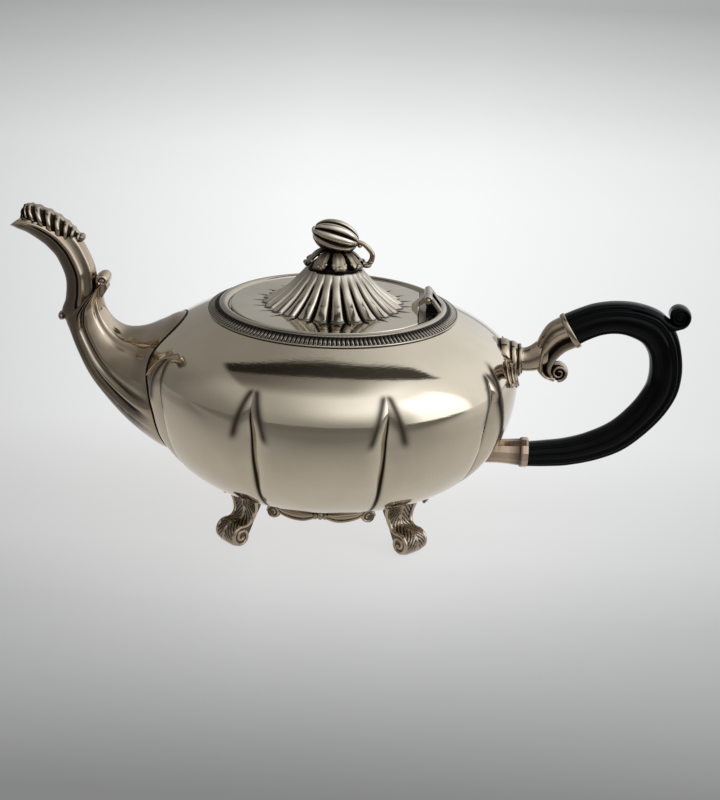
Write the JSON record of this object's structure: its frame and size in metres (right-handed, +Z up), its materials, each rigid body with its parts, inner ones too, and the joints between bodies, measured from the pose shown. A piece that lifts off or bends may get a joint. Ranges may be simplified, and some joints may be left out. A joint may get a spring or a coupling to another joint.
{
  "type": "teapot",
  "caption": "Silver teapot with a lobed body, hinged fluted lid with a bud finial, cast scroll spout and black loop handle, standing on leafy feet.",
  "frame": {"origin": "halfway between the spout's tip and the handle's outermost point, in the middle plane, at the level of the table; the body's vertical axis is 6.9 mm towards the spout from it", "axes": "+X towards the handle, +Z up, the front in the picture faces -Y and the lid hinge runs along Y"},
  "size_m": [0.2798, 0.1554, 0.1299],
  "materials": {
    "sheet_silver": "polished silver plate with light tarnish",
    "cast_silver": "cast and silver plated, dark in the recesses",
    "black_grip": "glossy black",
    "brass_fixing": "worn brass"
  },
  "bodies": {
    "pot": {"body_shell": "sheet_silver", "rim_border": "sheet_silver", "lid_seat": "sheet_silver", "spout": "cast_silver", "hinge_fixed_leaf": "sheet_silver", "hinge_pin": "brass_fixing", "handle_grip": "black_grip", "handle_upper_socket": "cast_silver", "handle_lower_socket": "cast_silver", "handle_mount_leaf": "cast_silver", "handle_upper_pin": "brass_fixing", "handle_lower_pin": "brass_fixing", "foot_front_left": "cast_silver", "foot_front_right": "cast_silver", "foot_back_right": "cast_silver", "foot_back_left": "cast_silver", "apron_front": "cast_silver", "apron_handle_side": "cast_silver", "apron_back": "cast_silver", "apron_spout_side": "cast_silver"},
    "lid": {"lid_cover": "sheet_silver", "lid_bezel": "sheet_silver", "finial_calyx": "cast_silver", "finial_bud": "cast_silver", "finial_stem": "cast_silver", "finial_stud": "brass_fixing", "finial_washer": "brass_fixing", "finial_nut": "brass_fixing", "hinge_lid_leaf": "sheet_silver"}
  },
  "joints": [
    {"name": "lid_hinge", "type": "hinge", "parent": "pot", "child": "lid", "pos_m": [0.032, 0, 0.0992], "axis": [0, 1, 0], "range_deg": [0, 100]}
  ]
}
